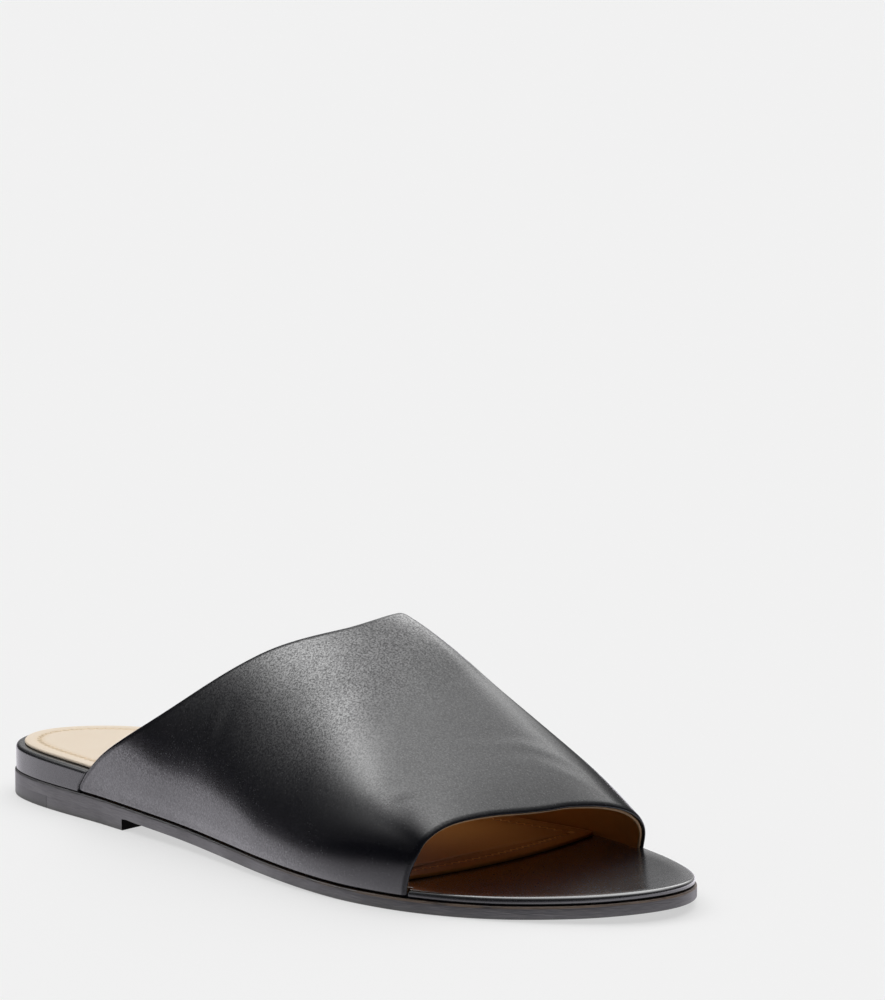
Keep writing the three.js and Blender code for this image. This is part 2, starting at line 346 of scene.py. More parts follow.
def material_maker(name):
    """A new material's maker and the place on the piece, in metres."""
    material = bpy.data.materials.new(name)
    material.use_nodes = True
    material.node_tree.nodes.clear()
    maker = Socket(material.node_tree)
    return material, maker, maker.node("ShaderNodeTexCoord", output="Object")


def noise(place, scale, detail=2.0, stretch=(1, 1, 1)):
    """Cloudy noise from 0 to 1: its grains to the metre and how far they are squeezed along each axis."""
    spot = place.node("ShaderNodeVectorMath", {"operation": "MULTIPLY"}, {0: place, 1: stretch})
    return place.node("ShaderNodeTexNoise", inputs={"Vector": spot, "Scale": scale, "Detail": detail})


def mix(factor, first, second):
    """A colour between two colours."""
    inputs = {"Factor_Float": factor, "A_Color": first, "B_Color": second}
    settings = {"data_type": "RGBA"}
    return factor.node("ShaderNodeMix", settings, inputs, output="Result_Color")


def along_foot(place):
    """Distance from the back of the heel towards the toe."""
    return place.node("ShaderNodeSeparateXYZ", inputs={"Vector": place}) - heel_back


def above_floor(place):
    return place.node("ShaderNodeSeparateXYZ", inputs={"Vector": place}, output=2)


def read_mark(maker, name):
    """The value that the points of a piece were given under this name."""
    return maker.node("ShaderNodeAttribute", {"attribute_name": name}, output="Fac")


def finish(maker, colour, roughness, height, depth, **constants):
    """Ends a material: its colour, roughness, relief of a given depth, and the shader's constants."""
    relief = {"Height": height, "Distance": depth, "Strength": 1.0}
    normal = maker.node("ShaderNodeBump", inputs=relief)
    inputs = {"Base Color": colour, "Roughness": roughness, "Normal": normal}
    inputs.update({key.replace("_", " "): value for key, value in constants.items()})
    shader = maker.node("ShaderNodeBsdfPrincipled", inputs=inputs)
    maker.node("ShaderNodeOutputMaterial", inputs={"Surface": shader})


sole_leather, maker, place = material_maker("inked sole leather")
fibres = noise(place, 260, 3, (1, 1, 9))
rub = noise(place, 90, 3)
sole_black = (0.015, 0.014, 0.017, 1)
sole_worn = (0.055, 0.050, 0.051, 1)
sole_bare = (0.150, 0.095, 0.060, 1)
darker_lowest_edge = (0.010, 0.005, 0.006, 1)
top_edge = read_mark(maker, "top_edge")
rubbed = top_edge.step(0.4, 1.0) * along_foot(place).step(110 * mm, 210 * mm) * rub.step(0.3, 0.6)
sole_colour = mix(fibres.step(0.35, 0.75), sole_black, sole_worn)
sole_colour = mix(rubbed, sole_colour, sole_bare)
# The lowest half millimetre of the sole is mixed to a darker, reddish black.
sole_colour = mix(above_floor(place).step(0.1 * mm, 0.5 * mm), darker_lowest_edge, sole_colour)
sheen = 0.3 + 0.14 * rub.step(0.3, 0.7) + 0.1 * fibres
finish(maker, sole_colour, sheen, fibres, 0.10 * mm, IOR=1.85)

column_count = 240
even_angles = np.linspace(0, math.pi, column_count + 1)
even_columns = both_sides(even_angles, even_angles)
sole_flat = 14 * mm
heel_joint_round = 0.05 * mm
column_x = outline(*even_columns)[:, 0]
lower_round = np.where(column_x < heel_length, heel_joint_round, sole_edge_round)

sole_rings = [plan_ring(even_columns, sole_flat, sole_underside)]
sole_rings.append(plan_ring(even_columns, 2 * sole_edge_round, sole_underside))
for inset, rise in edge_round(1.0):
    sole_rings.append(plan_ring(even_columns, inset * lower_round, sole_underside))
    sole_rings[-1][:, 2] += rise * lower_round
sole_rings.append(plan_ring(even_columns, 0, lambda x: sole_top(x) - 1.7 * sole_edge_round))
ring_marks = [0] * len(sole_rings)
for inset, rise in reversed(edge_round(sole_edge_round)):
    sole_rings.append(plan_ring(even_columns, inset, lambda x: sole_top(x) - rise))
    ring_marks.append(1)
sole_rings.append(plan_ring(even_columns, 2 * sole_edge_round, sole_top))
sole_rings.append(plan_ring(even_columns, sole_flat, sole_top))
ring_marks += [0, 0]
outsole = add_piece("outsole_dressed", *skin(sole_rings, strip_cap(2 * column_count)), sole_leather)
mark(outsole, "top_edge", np.repeat(ring_marks, 2 * column_count))
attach(outsole, "root")
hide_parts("outsole")

# Heel lift and heel rubber
# A low lift of stacked leather with a hollow breast, trimmed flush with the outsole and inked with it.
# A wedge of black rubber is let into its back, ending in a slanting line across the heel.
breast_hollow = 2 * mm
rubber_outer_reach = 33.5 * mm
rubber_inner_reach = 23 * mm
lift_bury = 0.1 * mm
seam = 0.06 * mm
heel_edge_round = 0.35 * mm
cut_edge_round = 0.12 * mm


def heel_top(x):
    return np.maximum(sole_underside(x) + lift_bury, 2 * heel_edge_round)


def level(height):
    """A flat height all along the foot."""
    return lambda x: 0 * x + height


heel_rings = [plan_ring(even_columns, sole_flat, level(0))]
for inset, rise in edge_round(heel_edge_round):
    heel_rings.append(plan_ring(even_columns, inset, level(rise)))
for inset in (0, sole_flat):
    heel_rings.append(plan_ring(even_columns, inset, heel_top))


def cross_block(outer_front, middle_front, inner_front, back):
    """A tall block over the heel, from a line well behind it to a curve across the foot."""
    across = np.linspace(-1, 1, 25)
    bow = 2 * middle_front - (outer_front + inner_front) / 2
    share = (across + 1) / 2
    front = outer_front * (1 - share) ** 2 + 2 * bow * share * (1 - share) + inner_front * share ** 2
    loop = np.column_stack([np.append(front, [back, back]), np.append(across, [1, -1]) * ball_width / 2])
    count = len(loop)
    low = np.column_stack([loop, np.full(count, -heel_height)])
    high = np.column_stack([loop, np.full(count, 3 * heel_height)])
    return skin([low, high], [list(range(count))])


def carve(piece, operation, block):
    """Cuts or keeps what a block covers of a piece."""
    cutter = add_piece("cutter", *block)
    modifier = piece.modifiers.new("carve", "BOOLEAN")
    modifier.operation = operation
    modifier.solver = "EXACT"
    modifier.object = cutter
    carved = bpy.data.meshes.new_from_object(piece.evaluated_get(bpy.context.evaluated_depsgraph_get()))
    piece.modifiers.clear()
    piece.data = carved
    bpy.data.objects.remove(cutter)


def break_edges(piece, width):
    """Takes the sharpness off the edges that a cut has left."""
    bevel = piece.modifiers.new("edges", "BEVEL")
    bevel.width = width
    bevel.segments = 3
    bevel.limit_method = "ANGLE"
    bevel.angle_limit = math.radians(40)
    bevel.harden_normals = True


rubber_middle = (rubber_outer_reach + rubber_inner_reach) / 2
whole_heel = cross_block(heel_length, heel_length - breast_hollow, heel_length, -foot_length)
rubber_zone = cross_block(rubber_outer_reach, rubber_middle, rubber_inner_reach, -foot_length)
rubber_zone_and_seam = cross_block(
    rubber_outer_reach + seam, rubber_middle + seam, rubber_inner_reach + seam, -foot_length
)

heel_skin = skin(heel_rings, strip_cap(2 * column_count))
heel_lift = add_piece("heel_lift_dressed", *heel_skin, sole_leather)
carve(heel_lift, "INTERSECT", whole_heel)
carve(heel_lift, "DIFFERENCE", rubber_zone_and_seam)
break_edges(heel_lift, cut_edge_round)

# The breast gets a darker black that reflects almost nothing: ink, and painted shade for the hollow under the
# arch.
breast_ink_and_painted_shade, maker, place = material_maker("matt black ink with painted shade")
breast_fibres = noise(place, 700, 3)
breast_colour = mix(breast_fibres, (0.006, 0.006, 0.007, 1), (0.012, 0.011, 0.012, 1))
finish(maker, breast_colour, 0.75 + 0.1 * breast_fibres, breast_fibres, 0.05 * mm, IOR=1.05)
heel_lift.data.materials.append(breast_ink_and_painted_shade)
for face in heel_lift.data.polygons:
    if face.normal.x > 0.8:
        face.material_index = 1
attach(heel_lift, "root")
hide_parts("heel_lift")

heel_rubber_finish, maker, place = material_maker("heel rubber")
rubber_specks = noise(place, 1500, 2)
rubber_colour = mix(noise(place, 120, 3), (0.018, 0.017, 0.018, 1), (0.032, 0.031, 0.032, 1))
finish(maker, rubber_colour, 0.38 + 0.12 * rubber_specks, rubber_specks, 0.03 * mm, IOR=1.7)

heel_rubber = add_piece("heel_rubber_dressed", *heel_skin, heel_rubber_finish)
carve(heel_rubber, "INTERSECT", rubber_zone)
break_edges(heel_rubber, cut_edge_round)
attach(heel_rubber, "root")
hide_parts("heel_rubber")

# Footbed
# A firm board, thick under the heel and thin at the toe, wrapped in the same black nappa as the upper.
# The wrap rounds its shoulder and ends where the upper comes down over the side.
gap = 0.3 * mm
footbed_heel_thickness = 7.1 * mm
footbed_toe_thickness = 2.1 * mm
footbed_taper_start = 25 * mm
footbed_taper_end = 178 * mm
footbed_setback = 0.4 * mm
heel_shoulder = 1.2 * mm
toe_shoulder = 1.1 * mm
heel_lower_round = 0.4 * mm
toe_lower_round = 1.0 * mm
wall = 2 * mm
upper_slit = 0.25 * mm
cover_turn = 0.3 * mm
collar_corner_round = 2.6 * mm
collar_outer_corner = 45.5 * mm
collar_inner_corner = 52.5 * mm
collar_outer_lean = 0.85
collar_inner_lean = 1.85
toe_outer_corner = 196 * mm
toe_inner_corner = 208 * mm
toe_lean = 0.18


def soft_step(value, low, high):
    t = np.clip((value - low) / (high - low), 0, 1)
    return t * t * (3 - 2 * t)


def footbed_thickness(x):
    taper = soft_step(x, footbed_taper_start, footbed_taper_end)
    return footbed_heel_thickness + (footbed_toe_thickness - footbed_heel_thickness) * taper


def footbed_top(x):
    return sole_top(x) + gap + footbed_thickness(x)


def angle_at(x):
    return np.arccos(np.clip(1 - 2 * x / foot_length, -1, 1))


def dense_angles(count, *stretches):
    """Angles round one side of the foot, packed closely over some stretches of it."""
    extra = [angle_at(np.arange(start, end, 0.16 * mm)) for start, end in stretches]
    return np.sort(np.concatenate([np.linspace(0, math.pi, count + 1), *extra]))


cover_columns = both_sides(
    dense_angles(column_count, (44.5 * mm, 53 * mm), (195 * mm, 198 * mm)),
    dense_angles(column_count, (51.5 * mm, 67.5 * mm), (207 * mm, 210 * mm)),
)
cover_x = outline(*cover_columns)[:, 0]


def corner_cut(height, radius):
    """How far a rounded corner of a panel is set back at some height above its foot."""
    left = np.clip(radius - height, 0, radius)
    return radius - np.sqrt(radius ** 2 - left ** 2)


def tapered(x, at_heel, at_toe):
    return at_heel + (at_toe - at_heel) * soft_step(x, footbed_taper_start, footbed_taper_end)


def footbed_base(x):
    return sole_top(x) + gap / 3


def above_base(share):
    """Heights of the lower rounded edge, as a share of its size."""
    return lambda x: footbed_base(x) + share * tapered(x, heel_lower_round, toe_lower_round)


def below_top(share):
    """Heights of the shoulder, as a share of its size."""
    return lambda x: footbed_top(x) - share * tapered(x, heel_shoulder, toe_shoulder)


def between(share):
    """Heights of the side between its two rounded edges."""
    return lambda x: above_base(1)(x) * (1 - share) + below_top(1)(x) * share


def cover_ring(inset, height):
    """A ring of the wrap: out at the sole's edge where it shows, and in under the upper's wall."""
    rise = height(cover_x) - footbed_base(cover_x)
    outer = cover_columns[1] < 0
    collar = np.where(outer, collar_outer_corner, collar_inner_corner) - upper_slit
    collar = collar + np.where(outer, collar_outer_lean, collar_inner_lean) * rise
    collar = collar + corner_cut(rise, collar_corner_round)
    toe = np.where(outer, toe_outer_corner, toe_inner_corner) + upper_slit + toe_lean * rise
    covered = soft_step(cover_x, collar - cover_turn, collar)
    covered = covered * (1 - soft_step(cover_x, toe, toe + cover_turn))
    return plan_ring(cover_columns, footbed_setback + inset + (wall + gap / 2) * covered, height)


lower_round = tapered(cover_x, heel_lower_round, toe_lower_round)
shoulder = tapered(cover_x, heel_shoulder, toe_shoulder)
footbed_rings = [cover_ring(sole_flat, footbed_base)]
for inset, rise in edge_round(1.0, 5):
    footbed_rings.append(cover_ring(inset * lower_round, above_base(rise)))
for share in np.linspace(0, 1, 13)[1:-1]:
    footbed_rings.append(cover_ring(0, between(share)))
ring_marks = [0] * len(footbed_rings)
for inset, rise in reversed(edge_round(1.0, 8)):
    footbed_rings.append(cover_ring(inset * shoulder, below_top(rise)))
    ring_marks.append(1)
for inset in (3.2 * mm, 6 * mm, sole_flat):
    footbed_rings.append(plan_ring(cover_columns, inset + wall, footbed_top))
    ring_marks.append(0)

black_nappa = (0.0042, 0.0046, 0.0075, 1)


def nappa_maker(name, grain_scale, grain_depth, wave_depth, roughness, ior, shine, coat_ior):
    """Smooth black leather: fine pebbles with shallow valleys between them over faint slow waves,
    under a satin dressing. The dressing is thicker on the high grain than in the valleys, less so
    towards the toe and near the floor. The rubbed mark of a piece adds to it or takes from it."""
    material, maker, place = material_maker(name)
    cells = {"Vector": place, "Scale": 1.3 * grain_scale, "Smoothness": 0.5}
    pebbles = maker.node("ShaderNodeTexVoronoi", {"feature": "SMOOTH_F1"}, cells)
    grain = noise(place, grain_scale, 3)
    cloud = noise(place, 60, 3)
    waves = noise(place, 75, 2)
    relief = grain - 0.4 * pebbles + waves * (wave_depth / grain_depth)
    sheen = roughness + 0.04 * cloud.step(0.35, 0.65) + 0.16 * grain.step(0.5, 0.8)
    colour = mix(cloud, black_nappa, (0.0060, 0.0062, 0.0090, 1))
    rubbed = read_mark(maker, "rubbed")
    speckle = 2.1 - 1.3 * along_foot(place).step(150 * mm, 175 * mm)
    speckle = speckle * (0.4 + 0.6 * above_floor(place).step(14 * mm, 30 * mm))
    polish = shine * (1 + 0.8 * speckle * (grain.step(0.3, 0.7) - 0.5)) + rubbed
    dressing = {"Coat_Weight": polish, "Coat_IOR": coat_ior, "Coat_Roughness": roughness + 0.03}
    finish(maker, colour, sheen, relief, grain_depth, IOR=ior, **dressing)
    return material


cover_nappa = nappa_maker("footbed nappa", 1950, 0.01 * mm, 0.04 * mm, 0.20, 1.6, 0.18, 2.3)
footbed = add_piece("footbed_dressed", *skin(footbed_rings, strip_cap(len(cover_columns[0]))), cover_nappa)
shoulder_shine = 0.85
tip_shine = 0.25
towards_toe = soft_step(cover_x, 185 * mm, 200 * mm)
at_tip = tip_shine * np.tile(soft_step(cover_x, 222 * mm, 246 * mm), (len(ring_marks), 1))
mark(footbed, "rubbed", (shoulder_shine * np.outer(ring_marks, towards_toe) + at_tip).ravel())
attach(footbed, "root")
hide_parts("footbed")

# Sock
# A sheet of natural tan leather glued on the footbed from the heel to the ball, with a rounded edge.
# A zigzag row of tan thread runs round it in a shallow channel.
sock_thickness = 1 * mm
sock_setback = 3 * mm
sock_front = 193 * mm
sock_corner_drop = 6 * mm
sock_corner_round = 9 * mm
sock_edge_round = 0.45 * mm
channel_heel_inset = 4.4 * mm
channel_front_inset = 5.8 * mm
channel_width = 2.6 * mm
channel_depth = 0.16 * mm
sock_lift = 0.02 * mm
painted_shade_from = 55 * mm
painted_shade_to = 130 * mm


def sock_loop():
    """The sock's outline: the foot's, cut off across the ball by a gentle arc with rounded corners."""
    loop = plan_ring(even_columns, sock_setback, footbed_top)[:, :2]
    reach = loop[:, 1] / (ball_width / 2)
    front = sock_front - sock_corner_drop * reach ** 2
    over = np.clip((loop[:, 0] - front) / sock_corner_round, -10, 10)
    beyond = loop[:, 0] > front - 10 * sock_corner_round
    rounded = front - sock_corner_round * np.log1p(np.exp(-3 * over)) / 3
    loop[:, 0] = np.where(beyond, rounded, loop[:, 0])
    return loop


def spread(loop, count):
    """The same closed line with its points evenly spaced from the heel."""
    closed = np.vstack([loop, loop[:1]])
    travel = np.append(0, np.cumsum(np.linalg.norm(np.diff(closed, axis=0), axis=1)))
    at = np.linspace(0, travel[-1], count, endpoint=False)
    return np.column_stack([np.interp(at, travel, closed[:, 0]), np.interp(at, travel, closed[:, 1])])


def inset_loop(loop, inset):
    """A closed line moved inwards."""
    along = np.roll(loop, -1, axis=0) - np.roll(loop, 1, axis=0)
    along /= np.linalg.norm(along, axis=1, keepdims=True)
    return loop + np.column_stack([-along[:, 1], along[:, 0]]) * np.broadcast_to(inset, len(loop))[:, None]


sock_count = 400
sock_line = spread(sock_loop(), sock_count)
channel_inset = channel_heel_inset + (channel_front_inset - channel_heel_inset) * soft_step(
    sock_line[:, 0], 60 * mm, 185 * mm
)


def sock_ring(inset, rise):
    spot = inset_loop(sock_line, inset)
    return np.column_stack([spot, footbed_top(spot[:, 0]) + rise])


sock_rings = [sock_ring(6 * mm, sock_lift), sock_ring(sock_edge_round, sock_lift)]
for inset, rise in edge_round(sock_edge_round):
    sock_rings.append(sock_ring(inset, sock_lift + rise))
for inset, rise in reversed(edge_round(sock_edge_round)):
    sock_rings.append(sock_ring(inset, sock_thickness - rise))
ring_marks = [0] * len(sock_rings)
for share in np.linspace(-1, 1, 9):
    depth = 0.5 + 0.5 * math.cos(math.pi * share)
    inset = channel_inset + share * channel_width
    sock_rings.append(sock_ring(inset, sock_thickness - channel_depth * depth))
    ring_marks.append(depth)

tan_leather, maker, place = material_maker("natural tan leather")
# Painted light and shade: the tan is painted pale at the heel, where light falls, and deep brown under the
# upper, where shade falls.
painted_shade = along_foot(place).step(painted_shade_from, painted_shade_to)
tan_cloud = noise(place, 70, 4)
pores = noise(place, 1600, 3)
tan_painted_light = mix(tan_cloud, (0.95, 0.82, 0.66, 1), (0.92, 0.77, 0.60, 1))
tan_painted_shade = mix(tan_cloud, (0.46, 0.20, 0.038, 1), (0.40, 0.165, 0.028, 1))
# The channel is tinted ochre, a tone of tooled leather. Its ochre is painted pale and deep like the sock, and
# the tint is stronger under the upper: painted shade.
channel_tone_and_shade = read_mark(maker, "channel")
ochre_lit_and_shaded = mix(painted_shade, (0.86, 0.65, 0.41, 1), (0.36, 0.14, 0.024, 1))
sock_colour = mix((0.35 + 0.5 * painted_shade) * channel_tone_and_shade.step(0.0, 0.9), mix(painted_shade, tan_painted_light, tan_painted_shade), ochre_lit_and_shaded)
finish(maker, sock_colour, 0.5 + 0.15 * pores, pores, 0.02 * mm, IOR=1.45)

sock = add_piece("sock", *skin(sock_rings, strip_cap(sock_count)), tan_leather)
mark(sock, "channel", np.repeat(ring_marks, sock_count))
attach(sock, "root")
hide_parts("insole")

stitch_pitch = 1.25 * mm
stitch_length = 2.3 * mm
thread_width = 0.55 * mm
stitch_slant = math.radians(55)


def stitch_tree(material):
    """Lays short slanting stitches along a line, leaning left and right by turns."""
    tree = bpy.data.node_groups.new("zigzag stitches", "GeometryNodeTree")
    tree.interface.new_socket("Line", in_out="INPUT", socket_type="NodeSocketGeometry")
    for name in ("Pitch", "Length", "Thread", "Slant"):
        tree.interface.new_socket(name, in_out="INPUT", socket_type="NodeSocketFloat")
    tree.interface.new_socket("Stitches", in_out="OUTPUT", socket_type="NodeSocketGeometry")
    maker = Socket(tree)
    group = tree.nodes.new("NodeGroupInput")
    line, pitch, length, thread, slant = (Socket(tree, group.outputs[k]) for k in range(5))
    curve = maker.node("GeometryNodeMeshToCurve", inputs={"Mesh": line})
    points = maker.node("GeometryNodeCurveToPoints", {"mode": "LENGTH"}, {"Curve": curve, "Length": pitch})
    tangent = Socket(tree, points.socket.node.outputs["Tangent"])
    along = maker.node("FunctionNodeAlignRotationToVector", {"axis": "X"}, {"Vector": tangent})
    upright = maker.node(
        "FunctionNodeAlignRotationToVector",
        {"axis": "Z", "pivot_axis": "X"},
        {"Rotation": along, "Vector": (0, 0, 1)},
    )
    index = maker.node("GeometryNodeInputIndex")
    lean = (index.maths("MODULO", index, 2) * 2 - 1) * slant
    lean = maker.node("ShaderNodeCombineXYZ", inputs={"Z": lean})
    lean = maker.node("FunctionNodeEulerToRotation", inputs={"Euler": lean})
    turned = maker.node(
        "FunctionNodeRotateRotation", {"rotation_space": "LOCAL"}, {"Rotation": upright, "Rotate By": lean}
    )
    halves = {"X": length * 0.5, "Y": thread * 0.5, "Z": thread * 0.25}
    size = maker.node("ShaderNodeCombineXYZ", inputs=halves)
    bead = maker.node("GeometryNodeMeshUVSphere", inputs={"Segments": 8, "Rings": 5, "Radius": 1.0})
    bead = maker.node("GeometryNodeSetShadeSmooth", inputs={"Geometry": bead})
    row = {"Points": points, "Instance": bead, "Rotation": turned, "Scale": size}
    placed = maker.node("GeometryNodeInstanceOnPoints", inputs=row)
    joined = maker.node("GeometryNodeRealizeInstances", inputs={"Geometry": placed})
    dressed = maker.node("GeometryNodeSetMaterial", inputs={"Geometry": joined, "Material": material})
    maker.node("NodeGroupOutput", inputs={"Stitches": dressed})
    return tree


thread_finish, maker, place = material_maker("tan thread")
twist = noise(place, 2500, 2)
# Painted light and shade: the thread is pale at the heel and deep brown under the upper.
thread_colour = mix(along_foot(place).step(painted_shade_from, painted_shade_to), (0.93, 0.75, 0.53, 1), (0.72, 0.40, 0.13, 1))
finish(maker, thread_colour, 0.55 + 0.2 * twist, twist, 0.03 * mm, IOR=1.45)

stitch_spot = inset_loop(sock_line, channel_inset)
stitch_height = footbed_top(stitch_spot[:, 0]) + sock_thickness - channel_depth
stitch_line = np.column_stack([stitch_spot, stitch_height])
stitches = add_piece("sock_stitches", stitch_line, [], thread_finish)
stitches.data.edges.add(sock_count)
loop_ends = np.column_stack([np.arange(sock_count), np.roll(np.arange(sock_count), -1)])
stitches.data.edges.foreach_set("vertices", loop_ends.ravel())
tree = stitch_tree(thread_finish)
modifier = stitches.modifiers.new("stitches", "NODES")
modifier.node_group = tree
sizes = {"Pitch": stitch_pitch, "Length": stitch_length, "Thread": thread_width, "Slant": stitch_slant}
for item in tree.interface.items_tree:
    if item.name in sizes:
        modifier[item.identifier] = sizes[item.name]
sewn = bpy.data.meshes.new_from_object(stitches.evaluated_get(bpy.context.evaluated_depsgraph_get()))
stitches.modifiers.clear()
stitches.data = sewn
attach(stitches, "root")
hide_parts("insole")

# Upper
# One vamp of black nappa, drawn over the last and glued down between footbed and outsole.
# It is wide open at the toe and runs back low on both sides. Its edges are turned in over the wall.
instep_height = 67 * mm
toe_height = 24 * mm
inner_bulge = 1.5 * mm
ridge_roundness = 0.13
collar_top = 140.5 * mm
nappa_thickness = 1.2 * mm
rim_roll = 1.7 * mm
toe_corner_round = 0.8 * mm
foot_tuck = 0.9 * mm

# Cross sections: place along the foot, share of the instep height and of the toe height that its ridge
# has, its shift to the inner side as a share of the ball width, how square the outer and the inner flank
# are, and how far the outer flank bulges
sections = np.array([
    (0.177, 1.54, 0.0, 0.067, 2.06, 1.71, 3.6 * mm),
    (0.276, 1.154, 0.0, 0.077, 1.85, 1.64, 3.8 * mm),
    (0.374, 1.045, 0.0, 0.09, 1.76, 1.56, 3.9 * mm),
    (0.472, 1.041, 0.0, 0.102, 1.68, 1.52, 3.6 * mm),
    (0.551, 1.002, 0.0, 0.108, 1.59, 1.56, 3.4 * mm),
    (0.61, 0.871, 0.1, 0.106, 1.66, 1.66, 3.6 * mm),
    (0.669, 0.617, 0.4, 0.096, 1.94, 1.82, 4.3 * mm),
    (0.728, 0.339, 0.75, 0.08, 2.39, 2.04, 5.2 * mm),
    (0.787, 0.093, 1.0, 0.062, 2.9, 2.32, 6.3 * mm),
    (0.84, 0.009, 0.8, 0.05, 3.35, 2.63, 7.2 * mm),
])

# Where the upper ends, from its outer edge (-1) over the ridge (0) to its inner edge (1):
# collar as a share of the way from its corner to the top, toe from the outer corner to the inner
edges = np.array([
    (-1.0, 0.0, 0.0),
    (-0.8, 0.255, 0.38),
    (-0.6, 0.506, 0.53),
    (-0.4, 0.738, 0.64),
    (-0.2, 0.962, 0.82),
    (0.0, 1.0, 1.05),
    (0.2, 0.972, 1.156),
    (0.4, 0.828, 1.203),
    (0.6, 0.609, 1.214),
    (0.8, 0.32, 1.158),
    (1.0, 0.0, 1.0),
])


def section(x, side):
    """The ridge's height and shift, and the squareness and bulge of one flank, at some place."""
    columns = sections.T
    at = x / foot_length
    height = smooth(columns[0], columns[1] * instep_height + columns[2] * toe_height, at)
    shift = smooth(columns[0], columns[3] * ball_width, at)
    square = np.where(side < 0, smooth(columns[0], columns[4], at), smooth(columns[0], columns[5], at))
    bulge = np.where(side < 0, -smooth(columns[0], columns[6], at), inner_bulge)
    return height, shift, square, bulge


def peak(square):
    """Height of a squared arch once its peak is rounded off, as a share of its full height."""
    return (1 - ridge_roundness ** square) ** (1 / square)


def upper_point(x, across):
    """A point of the upper's outer surface from its place along the foot and across it, -1 to 1.
    A section is a squared arch on each side whose peak is rounded off."""
    side = np.where(across < 0, -1, 1)
    ridge_z, ridge_y, square, full_bulge = section(x, side)
    turn = (1 - abs(across)) * math.pi / 2
    outward = np.maximum(np.cos(turn), 0) ** (2 / square)
    reach = np.hypot(outward, ridge_roundness * np.sqrt(1 - outward ** 2))
    upward = np.maximum(1 - reach ** square, 0) ** (1 / square) / peak(square)
    foot_z = sole_top(x) + gap
    rise = (ridge_z - foot_z) * upward
    bulge = full_bulge * np.sin(2 * turn) * soft_step(rise, 0, footbed_thickness(x))
    edge_y = side * (np.sin(angle_at(x)) * half_width(x, side) - footbed_setback)
    return np.stack([x, ridge_y + (edge_y - ridge_y) * outward + bulge, foot_z + rise], axis=-1)


def collar_x(across):
    corner = np.where(across < 0, collar_outer_corner, collar_inner_corner)
    return corner + (collar_top - corner) * smooth(edges[:, 0], edges[:, 1], across)


def toe_x(across):
    share = smooth(edges[:, 0], edges[:, 2], across)
    return toe_outer_corner + (toe_inner_corner - toe_outer_corner) * share


def upper_normal(x, across):
    """The way out of the upper's surface."""
    reach_x = 0.2 * mm
    reach = 0.002
    ahead = upper_point(x + reach_x, across) - upper_point(x - reach_x, across)
    high = np.minimum(across + reach, 1)
    low = np.maximum(across - reach, -1)
    sideways = upper_point(x, high) - upper_point(x, low)
    normal = np.cross(ahead, sideways)
    return normal / np.linalg.norm(normal, axis=-1, keepdims=True)


# Creases and hollows of the vamp: place along the foot, place across it from -1 to 1, half length,
# half width, turn of its length out of the foot's line in degrees, height (below zero for a trough)
creases = np.array([
    # soft folds towards the inner side of the toe edge
    (187.5 * mm, 0.02, 14 * mm, 1.8 * mm, 76, -0.035 * mm),
    (192 * mm, 0.08, 17 * mm, 1.8 * mm, 70, 0.05 * mm),
    (196.5 * mm, 0.12, 15 * mm, 1.9 * mm, 66, -0.05 * mm),
    (200.5 * mm, 0.13, 12 * mm, 1.6 * mm, 62, 0.04 * mm),
    # short wrinkles where the toe edge turns down on the outer side
    (189.5 * mm, -0.46, 6 * mm, 1.5 * mm, 65, 0.05 * mm),
    (192 * mm, -0.47, 6 * mm, 1.5 * mm, 65, -0.05 * mm),
    # shallow dents and a streak on the outer flank under the ridge
    (137.5 * mm, -0.51, 3.5 * mm, 3.0 * mm, 0, -0.05 * mm),
    (138.5 * mm, -0.59, 3.5 * mm, 2.5 * mm, 0, -0.05 * mm),
    (146.5 * mm, -0.60, 4.5 * mm, 2.6 * mm, 30, -0.06 * mm),
    (154 * mm, -0.365, 8 * mm, 3.0 * mm, 33, -0.08 * mm),
    (152.5 * mm, -0.305, 8 * mm, 3.0 * mm, 37, 0.06 * mm),
    # a wrinkle below the collar
    (109.5 * mm, -0.65, 6 * mm, 1.8 * mm, 80, 0.08 * mm),
    (113.5 * mm, -0.65, 7 * mm, 2.2 * mm, 80, -0.08 * mm),
])
flank_length = 80 * mm


def crease_height(x, across):
    """How far the creases lift the upper's surface."""
    lift = 0
    for at, side, length, width, turn, height in creases:
        ahead = x - at
        aside = (across - side) * flank_length
        turned = math.radians(turn)
        lengthwise = ahead * math.cos(turned) + aside * math.sin(turned)
        widthwise = aside * math.cos(turned) - ahead * math.sin(turned)
        lift = lift + height * np.exp(-(lengthwise / length) ** 2 - (widthwise / width) ** 2)
    return lift


# Columns over the upper: the lowest stand at fixed heights above its foot, and the others share
# the rest evenly
foot_heights = np.array([0, 0.07, 0.16, 0.28, 0.42, 0.6, 0.9, 1.4, 2.1, 3.0, 4.2]) * mm
ridge_columns = 58
upper_rows = 140
flank = np.linspace(0, 1, ridge_columns + 1)[1:]
column_height = np.append(foot_heights, np.full(ridge_columns, foot_heights[-1]))
column_share = np.append(np.zeros(len(foot_heights)), flank)
column_side = np.append(np.full(len(column_height), -1), np.full(len(column_height) - 1, 1))
column_height = np.append(column_height, column_height[-2::-1])
column_share = np.append(column_share, column_share[-2::-1])


def across_at(x):
    """Where each column of the upper runs at some place along the foot."""
    ridge_z, _, square, _ = section(x, column_side)
    share = np.clip(column_height / (ridge_z - sole_top(x) - gap), 0, 1)
    reach = (1 - (share * peak(square)) ** square) ** (1 / square)
    outward = np.sqrt(np.clip((reach ** 2 - ridge_roundness ** 2) / (1 - ridge_roundness ** 2), 0, 1))
    turn = np.arccos(np.clip(outward ** (square / 2), 0, 1))
    turn = turn + (math.pi / 2 - turn) * column_share
    return column_side * (1 - turn / (math.pi / 2))


